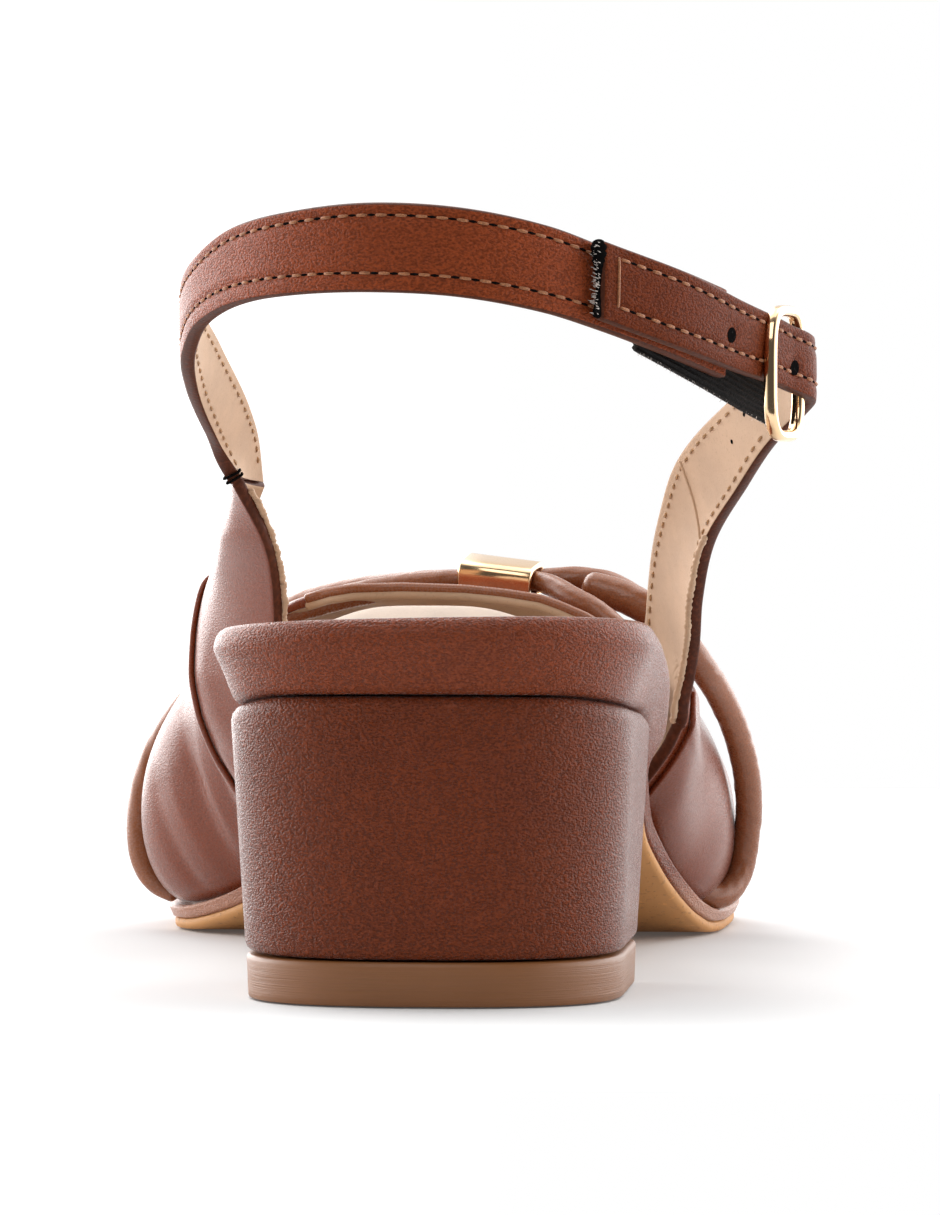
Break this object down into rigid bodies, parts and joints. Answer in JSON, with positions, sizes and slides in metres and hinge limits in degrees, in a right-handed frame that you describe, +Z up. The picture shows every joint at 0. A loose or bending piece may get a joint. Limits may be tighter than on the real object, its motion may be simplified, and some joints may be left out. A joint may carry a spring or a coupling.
{
  "type": "heeled slingback sandal",
  "caption": "Right-foot slingback sandal with a covered block heel, wide draped vamp with rolled cords through a metal bead, and a buckled heel strap.",
  "frame": {"origin": "centre of the heel's tread, on the floor", "axes": "+Y from the heel to the toe, +Z up, +X to the outer (lateral) side of the right foot"},
  "size_m": [0.1128, 0.2456, 0.1072],
  "materials": {
    "top_lift": "semi-matte gum brown",
    "heel_block": "brown grained leather over a solid block",
    "outsole": "matt tan",
    "footbed": "brown leather wrapped over board",
    "insole": "matt cream lining",
    "upper": "brown satin leather",
    "sling_strap": "brown satin leather",
    "elastic": "black ribbed webbing",
    "topline_cord": "glossy brown rolled leather",
    "front_cord": "glossy brown rolled leather",
    "outer_cord": "glossy brown rolled leather",
    "bead": "polished gold tone",
    "buckle_frame": "polished pale gold tone"
  },
  "bodies": {
    "root": {"top_lift": "top_lift", "heel_block": "heel_block", "outsole": "outsole", "footbed": "footbed", "insole": "insole", "upper": "upper", "sling_strap": "sling_strap", "elastic": "elastic", "topline_cord": "topline_cord", "front_cord": "front_cord", "outer_cord": "outer_cord", "bead": "bead", "buckle_frame": "buckle_frame"}
  },
  "joints": []
}
